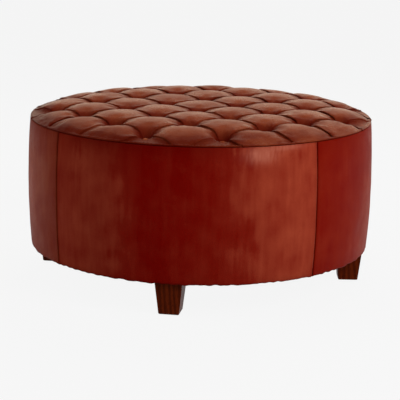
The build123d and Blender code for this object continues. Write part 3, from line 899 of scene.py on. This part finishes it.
# the side band
band = {
    "steps": 190, "seed": 5, "noiseReach": 4.57,
    "crowd": 0.045,  # rows close up near the vertical seams
    # rows and turns of the profile
    "under": (6, 7.0), "hemTop": 6.0, "rows": 44, "top": (10.0, 4),
    "hemRound": ((-5.5, 0.0), (-3.2, 0.5), (-1.3, 1.9), (-0.3, 3.8)),
    "seamTurn": ((0.2, -3.9), (-0.8, -3.3), (-5.5, -3.3)),
    "slow": (1.3, 3.0, 30.0, 25.0),  # slow swellings
    "broad": (0.9, 1.1, 120.0), "small": (0.35, 3.4, 40.0),  # share, how many round and how high
    "pucker": (0.9, 26.0, 16.0, 60.0, 0.01),  # gathers under the top seam
    # the hem, pulled in and up by its staples
    "pull": (0.8, 6.0, 14.0, 40.0, 430.0), "scallop": (3.2, 9.0, 438.0),
    "edgeRun": 3.0,  # none of these at the very edge
    "seamRoll": 2.6,  # how far the leather turns in at a vertical seam
    "tuck": (0.25, 9.0, 14.0, 440.0),  # unevenness beside it
    # marks along the hide: how many round, how high, and layer of the noise
    "marks": {
        "streak": (26.0, 170.0, 3.0), "fine": (62.0, 60.0, 8.0),
        "blotch": (11.0, 38.0, 5.0), "threads": (100.0, 22.0, 2.0),
    },
    "toneShares": {"broad": 0.16, "streak": 0.15, "fine": 0.14, "blotch": 0.22},
    "scuffGrain": (0.35, 0.8, 9.0, 7.0), "rubGrain": (0.75, 0.7),
    "underSeamShadeFade": 26.0,
    # painted shade along the hem and beside the vertical seams: strength and fade
    "hemDark": (0.5, 4.0), "seamDark": (0.35, 5.0),
    # where each panel is deep red, 0, or tan, 1, from its left edge to its right: partly the hide's own tone
    # and partly painted sheen where the lamps' reflections fall
    "tone": {
        "band_front": (
            (0.0, 0.85), (0.22, 0.75), (0.3, 0.45), (0.38, 0.12), (0.52, 0.02),
            (0.66, 0.3), (0.78, 0.72), (0.95, 0.78), (1.0, 0.7),
        ),
        "band_right": ((0.0, 0.1), (0.15, 0.3), (0.5, 0.55), (1.0, 0.35)),
        "band_back": ((0.0, 0.3), (0.4, 0.6), (0.7, 0.2), (1.0, 0.4)),
        "band_left": ((0.0, 0.5), (0.5, 0.35), (1.0, 0.4)),
    },
    # painted shade on each panel, from left to right
    "paintedPanelShade": {
        "band_front": ((0.0, 0.38), (0.22, 0.32), (0.36, 0.05), (0.45, 0.0), (1.0, 0.0)),
        "band_right": ((0.0, 0.0), (1.0, 0.1)),
        "band_back": ((0.0, 0.1), (0.3, 0.0), (0.7, 0.2), (1.0, 0.1)),
        "band_left": ((0.0, 0.0), (1.0, 0.0)),
    },
    # painted shade on each panel under the top seam, from left to right
    "underSeamShade": {
        "band_front": ((0.0, 0.35), (0.3, 0.7), (0.6, 0.6), (0.72, 0.2), (1.0, 0.0)),
        "band_right": ((0.0, 0.2), (1.0, 0.3)),
        "band_back": ((0.0, 0.3), (0.5, 0.6), (1.0, 0.3)),
        "band_left": ((0.0, 0.3), (1.0, 0.35)),
    },
    # scuffed patches: place along the panel, its half width, depth under the seam, half height and strength
    "scuffs": {
        "band_front": ((0.8, 0.1, 12.0, 11.0, 1.3), (0.12, 0.05, 60.0, 40.0, 0.3)),
        "band_right": ((0.85, 0.1, 60.0, 50.0, 0.5),),
        "band_back": ((0.3, 0.12, 40.0, 30.0, 0.6),),
        "band_left": ((0.7, 0.15, 90.0, 60.0, 0.6),),
    },
    # patches rubbed pale, told in the same way
    "rubs": {
        "band_front": ((0.775, 0.05, 22.0, 18.0, 0.9), (0.87, 0.06, 7.0, 7.0, 0.6)),
        "band_right": ((0.42, 0.11, 245.0, 110.0, 0.3),),
        "band_back": ((0.62, 0.05, 16.0, 14.0, 0.5),),
        "band_left": ((0.74, 0.09, 180.0, 110.0, 0.35),),
    },
}


def bandProfile():
    # radius and height, from the turned edge under the base, round the hem and up to the top seam
    hem, top, inner = drum["hemHeight"], drum["seamHeight"], drum["turnedEdge"]
    edge, rows, (count, clear) = band["hemTop"], band["rows"], band["under"]
    low = bandRadius(hem + edge)
    points = [(inner + k * (low - clear - inner) / count, hem) for k in range(count)]
    points += [(low + across, hem + up) for across, up in band["hemRound"]]
    clear, count = band["top"]
    heights = [hem + edge + (top - clear - hem - edge) * k / rows for k in range(rows + 1)]
    heights += [top - clear + k for k in range(1, count + 1)]
    points += [(bandRadius(height), height) for height in heights]
    return points + [(drum["seamRadius"] + across, top + up) for across, up in band["seamTurn"]]


def panelSpot(co, start):
    # a point's place on its panel: share of the width, angle, distances from the hem, the top and the seams
    share = atan2(co.y, co.x) / quarter
    share = share - band["crowd"] * sin(fullTurn * share)
    share = min(max(share, 0.0), 1.0)
    angle = start + share * quarter
    return {
        "share": share,
        "angle": angle,
        "reach": Vector((cos(angle), sin(angle), 0)) * band["noiseReach"],
        "radius": co.xy.length,
        "level": co.z,
        "down": drum["seamHeight"] - co.z,
        "up": co.z - drum["hemHeight"],
        "toSeam": min(share, 1 - share) * quarter * drum["radius"],
    }


def shapePanel(spot, middle):
    # moves the spot in or out and up, and keeps the slow noise for the colours
    reach, radius, down, up, toSeam = (spot[k] for k in ("reach", "radius", "down", "up", "toSeam"))
    size, still, lowRun, highRun = band["slow"]
    broadShare, count, high = band["broad"]
    spot["broad"] = noise(reach * count + Vector((0, 0, spot["level"] / high + band["seed"])))
    smallShare, count, high = band["small"]
    small = noise(reach * count + Vector((3, 1, spot["level"] / high)))
    body = min(1.0, up / lowRun) * min(1.0, down / highRun)
    move = size * body * (broadShare * spot["broad"] + smallShare * small) if up > still else 0.0
    size, count, fade, depth, tilt = band["pucker"]
    if down < depth:
        gather = noise(reach * count + Vector((0, 0, down * tilt)))
        move += size * gather * exp(-down / fade) * min(1.0, down / band["edgeRun"])
    size, count, fade, depth, least = band["pull"]
    if up < depth and radius > least:
        pull = noise(reach * count + Vector((7, 0, 0)))
        move += size * pull * exp(-up / fade) * min(1.0, up / band["edgeRun"])
        size, fade, least = band["scallop"]
        if radius > least:
            spot["level"] += size * noise(reach * count + Vector((1, 4, 0))) * exp(-up / fade)
    size, high, depth, least = band["tuck"]
    if toSeam < depth and radius > least:
        move += size * noise(Vector((spot["level"] / high, middle, 0)))
    roll = band["seamRoll"]
    if toSeam < roll:
        deep = 1.0 - toSeam / roll
        move -= roll * (1.0 - sqrt(max(0.0, 1.0 - deep * deep)))
    spot["radius"] = radius + move


def mark(kind, spot):
    across, high, layer = band["marks"][kind]
    return noise(Vector((spot["angle"] * across, spot["level"] / high, layer)))


def along(kind, name, spot):
    return np.interp(spot["share"], *zip(*band[kind][name]))


def patches(kind, name, spot):
    # how strongly the panel's patches of one kind show here
    total = 0.0
    for place, wide, deep, high, strength in band[kind][name]:
        off = ((spot["share"] - place) / wide) ** 2
        total += strength * exp(-off - ((spot["down"] - deep) / high) ** 2)
    return total


def panelLooks(name, spot):
    # how tan the hide is, partly its own tone and partly painted sheen, how rubbed it is, and how much
    # painted shade lies on it
    marks = {kind: mark(kind, spot) for kind in band["marks"]}
    marks["broad"] = spot["broad"]
    # the hide's tone with painted sheen in it
    tone = along("tone", name, spot) + sum(share * marks[kind] for kind, share in band["toneShares"].items())
    base, grain, count, high = band["scuffGrain"]
    worn = noise(spot["reach"] * count + Vector((0, 0, spot["level"] / high)))
    tone += patches("scuffs", name, spot) * max(0.0, base + marks["fine"] + grain * worn)
    base, grain = band["rubGrain"]
    rubbed = patches("rubs", name, spot) * (base + grain * marks["threads"])
    # painted shade along the panel, under the top seam, along the hem and beside the vertical seams
    dark = along("paintedPanelShade", name, spot)
    dark += along("underSeamShade", name, spot) * exp(-max(0.0, spot["down"]) / band["underSeamShadeFade"])
    # painted shade at the hem and the vertical seams
    for edge, off in (("hemDark", max(0.0, spot["up"])), ("seamDark", spot["toSeam"])):
        strength, fade = band[edge]
        dark += strength * exp(-off / fade)
    return (float(min(1.0, max(0.0, value))) for value in (tone, rubbed, dark))


def makePanel(name, middle):
    mesh = turnProfile(bandProfile(), band["steps"], quarter)
    start = radians(middle) - quarter / 2
    for attribute in ("toneAndPaintedLight", "dark", "rub"):
        mesh.verts.layers.float.new(attribute)
    layer, rub, paintedShade = (mesh.verts.layers.float[attribute] for attribute in ("toneAndPaintedLight", "rub", "dark"))
    for vert in mesh.verts:
        spot = panelSpot(vert.co, start)
        shapePanel(spot, middle)
        radius, angle = spot["radius"], spot["angle"]
        vert.co = (radius * cos(angle), radius * sin(angle), spot["level"])
        vert[layer], vert[rub], vert[paintedShade] = panelLooks(name, spot)
    toMetres(mesh)
    middleHeight = Vector((0, 0, 0.25))
    faceOut(mesh, lambda face: face.normal.dot(face.calc_center_median() - middleHeight))
    piece = settle(name + "_cover", mesh, name, [name], wall=drum["leather"])


for name, middle in (("band_right", 0.0), ("band_back", 90.0), ("band_left", 180.0), ("band_front", 270.0)):
    makePanel(name, middle + drum["turn"])
print("side band made")

padding = {
    "grid": 112, "trim": 3.0,
    "lean": 0.8,  # a layer's rim lies in by this share of its drop
    "groove": 4.5, "grooveReach": 15.0,  # the layers are pressed in under the pleats
    "least": 12.0,  # they are at least this thick
}


def makeLayer(name, finish, node, drop, foot):
    # one layer of the pad: the tufted form taken down by drop, and closed at foot below that or on the deck
    mesh, places = flatGrid(padding["grid"])
    rim, side = drum["seamRadius"] - drop * padding["lean"], tufts["period"]
    rows = max(i for i, _ in places)
    for vert, (i, j) in zip(mesh.verts, places):
        vert.co = gridPlace(i, j, rows)
    trimRound(mesh, rim, padding["trim"])
    verts = list(mesh.verts)
    x, y = plan(verts)
    height = coverHeight(x, y) + np.minimum(travelAt(swelling, *diamondPlace(x, y))[:, 2], 0)
    lowest = drum["deckTop"] + padding["least"]
    for k, vert in enumerate(verts):
        near = min(abs((p / side) % 1.0 - 0.5) * side for p in diamondPlace(vert.co.x, vert.co.y))
        groove = padding["groove"] * max(0.0, 1.0 - near / padding["grooveReach"])
        vert.co.z = max(height[k] - drop - groove, lowest)
    under = bmesh.ops.extrude_face_region(mesh, geom=list(mesh.faces))
    for vert in (g for g in under["geom"] if isinstance(g, bmesh.types.BMVert)):
        vert.co.z = drum["deckTop"] if foot is None else vert.co.z - foot
    toMetres(mesh)
    bmesh.ops.recalc_face_normals(mesh, faces=mesh.faces)
    piece = settle(name, mesh, finish, [node])


makeLayer("topWadding", "wadding", "top_wadding", 8.2, 4.8)
makeLayer("foamPad", "foam", "foam_pad", 13.6, None)

sideWrap = {
    "rows": 24, "innerRows": 8, "steps": 120,
    "under": 4.2,  # depth of its outside under the band
    "fuzz": 0.0015, "fuzzWide": 30.0,
    "firm": 3.0,  # nothing moves this near the skin
}


def makeSideWadding():
    inner, low, top = drum["skinRadius"], drum["boardTop"], drum["deckTop"]
    rows, innerRows = sideWrap["rows"], sideWrap["innerRows"]
    heights = [low + (top - low) * k / rows for k in range(rows + 1)]
    profile = [(bandRadius(height) - sideWrap["under"], height) for height in heights]
    profile += [(inner, top - (top - low) * k / innerRows) for k in range(innerRows + 1)]
    mesh = turnProfile(profile, sideWrap["steps"], closed=True)
    for vert in mesh.verts:
        if vert.co.xy.length > inner + sideWrap["firm"]:
            vert.co.xy *= 1.0 + sideWrap["fuzz"] * noise(vert.co / sideWrap["fuzzWide"])
    toMetres(mesh)
    bmesh.ops.recalc_face_normals(mesh, faces=mesh.faces)
    piece = settle("sideWadding", mesh, "wadding", ["side_wadding"])


makeSideWadding()
print("padding made")

# the dust cloth under the base
underCloth = {
    "radius": 434.0, "level": 83.4, "rings": 40, "steps": 144, "weld": 0.01,
    "sag": (2.6, 350.0),  # how far it hangs, and within which radius
    "ripple": (0.6, 0.5, 55.0, 2.0),
}


def makeDustCloth():
    count = underCloth["rings"]
    profile = [(underCloth["radius"] * k / count, underCloth["level"]) for k in range(count + 1)]
    mesh = turnProfile(profile, underCloth["steps"])
    bmesh.ops.remove_doubles(mesh, verts=mesh.verts, dist=underCloth["weld"])
    sag, reach = underCloth["sag"]
    steady, rippled, wide, layer = underCloth["ripple"]
    for vert in mesh.verts:
        slack = max(0.0, 1.0 - (vert.co.xy.length / reach) ** 2)
        ripple = 0.5 + 0.5 * noise(Vector((vert.co.x / wide, vert.co.y / wide, layer)))
        vert.co.z -= sag * slack * (steady + rippled * ripple)
    toMetres(mesh)
    faceOut(mesh, lambda face: -face.normal.z)
    piece = settle("dustCloth", mesh, "dustCloth", ["dust_cover"])
    wide = 2 * underCloth["radius"] * mm


makeDustCloth()
print("dust cloth made")

studio = {
    "backdrop": 0.923,  # linear, the photograph's plain pale ground
    "floorSize": 30.0,
    "floorShade": (0.5, 0.5, 0.5, 1.0),
    "glow": 0.945,
    "shadow": 0.05,  # how much of the floor's own shading shows
    "fill": 0.36,
    "warm": (1.0, 0.89, 0.7),  # the studio's own colour in the gloss
    "behind": 1.15,  # what the gloss meets low behind the object, and elsewhere
    "before": 0.04,
    "behindFrom": (0.1, 0.8),  # how far round and how high the pale part behind reaches, as sines
    "behindTop": (0.22, 0.6),
    "aim": (0, 0, 0.25),
    "key": {"turn": 48.0, "rise": 30.0, "away": 3.0, "size": (1.6, 1.2), "power": 62.0},
    "left": {"turn": -80.0, "rise": 24.0, "away": 3.2, "size": (1.8, 1.6), "power": 34.0},
    "over": {"turn": 165.0, "rise": 50.0, "away": 2.8, "size": (2.4, 1.8), "power": 52.0},
}


def makeFloor():
    mesh = bmesh.new()
    bmesh.ops.create_grid(mesh, x_segments=8, y_segments=8, size=studio["floorSize"])
    data = bpy.data.meshes.new("floor")
    mesh.to_mesh(data)
    mesh.free()
    floor = bpy.data.objects.new("floor", data)
    scene.collection.objects.link(floor)
    material = bpy.data.materials.new("paleFloor")
    material.use_nodes = True
    tree = material.node_tree
    tree.nodes.remove(tree.nodes["Principled BSDF"])
    path = tree.nodes.new("ShaderNodeLightPath").outputs
    mirrored = calc(tree, "MAXIMUM", path["Is Glossy Ray"], path["Is Transmission Ray"])
    seen = calc(tree, "MAXIMUM", path["Is Camera Ray"], mirrored)
    plain = put(tree, "BsdfDiffuse", None, Color=studio["floorShade"])
    glow = put(tree, "Emission", None, Color=(*white, 1.0), Strength=studio["glow"])
    share = calc(tree, "MULTIPLY", seen, 1.0 - studio["shadow"])
    mixed = put(tree, "MixShader", None, i0=share, i1=plain.outputs[0], i2=glow.outputs[0])
    tree.links.new(mixed.outputs[0], tree.nodes["Material Output"].inputs["Surface"])
    data.materials.append(material)


def makeLamp(name):
    lamp = studio[name]
    turn, rise = radians(lamp["turn"]) + view, radians(lamp["rise"])
    ahead = Vector((sin(turn) * cos(rise), -cos(turn) * cos(rise), sin(rise)))
    data = bpy.data.lights.new(name, "AREA")
    data.shape = "RECTANGLE"
    data.size, data.size_y = lamp["size"]
    data.energy = lamp["power"]
    lampObject = bpy.data.objects.new(name, data)
    scene.collection.objects.link(lampObject)
    lampObject.location = ahead * lamp["away"] + Vector(studio["aim"])
    lampObject.visible_glossy = False
    lampObject.rotation_mode = "QUATERNION"
    lampObject.rotation_quaternion = ahead.to_track_quat("Z", "Y")


def makeWorld():
    world = bpy.data.worlds.new("studio")
    scene.world = world
    world.use_nodes = True
    tree = world.node_tree
    path = tree.nodes.new("ShaderNodeLightPath").outputs
    where = tree.nodes.new("ShaderNodeTexCoord").outputs["Generated"]
    behind = {"i0": where, "i1": (-sin(view), cos(view), 0.0)}
    back = put(tree, "VectorMath", {"operation": "DOT_PRODUCT"}, **behind).outputs["Value"]
    high = put(tree, "SeparateXYZ", None, Vector=where).outputs["Z"]
    round_ = spread(tree, back, *studio["behindFrom"], smooth=True)
    pale = calc(tree, "MULTIPLY", round_, spread(tree, high, *studio["behindTop"], 1.0, 0.0, smooth=True))
    shiny = spread(tree, pale, 0.0, 1.0, studio["before"], studio["behind"])
    glossy = calc(tree, "MAXIMUM", path["Is Glossy Ray"], path["Is Transmission Ray"])
    level = calc(tree, "MULTIPLY_ADD", glossy, calc(tree, "SUBTRACT", shiny, studio["fill"]), studio["fill"])
    rest = calc(tree, "SUBTRACT", studio["backdrop"], level)
    level = calc(tree, "MULTIPLY_ADD", path["Is Camera Ray"], rest, level)
    ground = tree.nodes["Background"]
    tree.links.new(level, ground.inputs["Strength"])
    tree.links.new(tint(tree, glossy, white, studio["warm"]), ground.inputs["Color"])


makeFloor()
for name in ("key", "left", "over"):
    makeLamp(name)
makeWorld()
print("studio lit")
